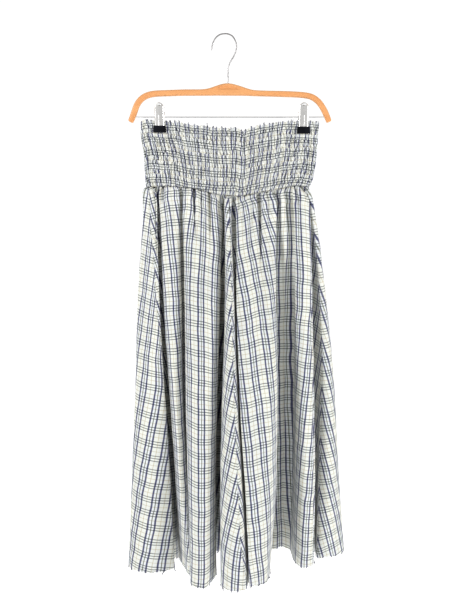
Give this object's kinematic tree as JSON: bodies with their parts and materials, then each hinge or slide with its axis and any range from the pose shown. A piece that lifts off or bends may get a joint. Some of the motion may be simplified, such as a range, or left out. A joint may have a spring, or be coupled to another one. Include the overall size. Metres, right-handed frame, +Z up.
{
  "type": "maxi skirt on a clip hanger",
  "caption": "Long flared skirt of checked cotton with a gathered yoke, hanging in deep folds from a bar hanger with sliding clips and a wire hook.",
  "frame": {"origin": "the point inside the top of the hanger's hook, where it hangs on a rail", "axes": "X to the right seen from the front, the front of the skirt faces -Y, +Z up"},
  "size_m": [0.503, 0.205, 1.1665],
  "materials": {
    "cloth": "thin crinkled cotton, off-white with a navy, olive-grey and tan check",
    "apricot_plastic": "smooth apricot moulded plastic",
    "hook_wire": "bright plated wire",
    "steel_rod": "plain drawn wire",
    "clip_steel": "pressed plated steel",
    "clip_rubber": "black moulded jaw tips"
  },
  "bodies": {
    "root": {"skirt_front_left": "cloth", "skirt_front_right": "cloth", "skirt_back_right": "cloth", "skirt_back_left": "cloth", "yoke_front": "cloth", "yoke_back": "cloth", "hanger_bar": "apricot_plastic", "clip_rod": "steel_rod", "hanger_hook": "hook_wire", "clip_left_front_plate": "clip_steel", "clip_left_front_pad": "clip_rubber", "clip_left_rear_plate": "clip_steel", "clip_left_rear_pad": "clip_rubber", "clip_left_spring": "clip_steel", "clip_right_front_plate": "clip_steel", "clip_right_front_pad": "clip_rubber", "clip_right_rear_plate": "clip_steel", "clip_right_rear_pad": "clip_rubber", "clip_right_spring": "clip_steel"}
  },
  "joints": []
}
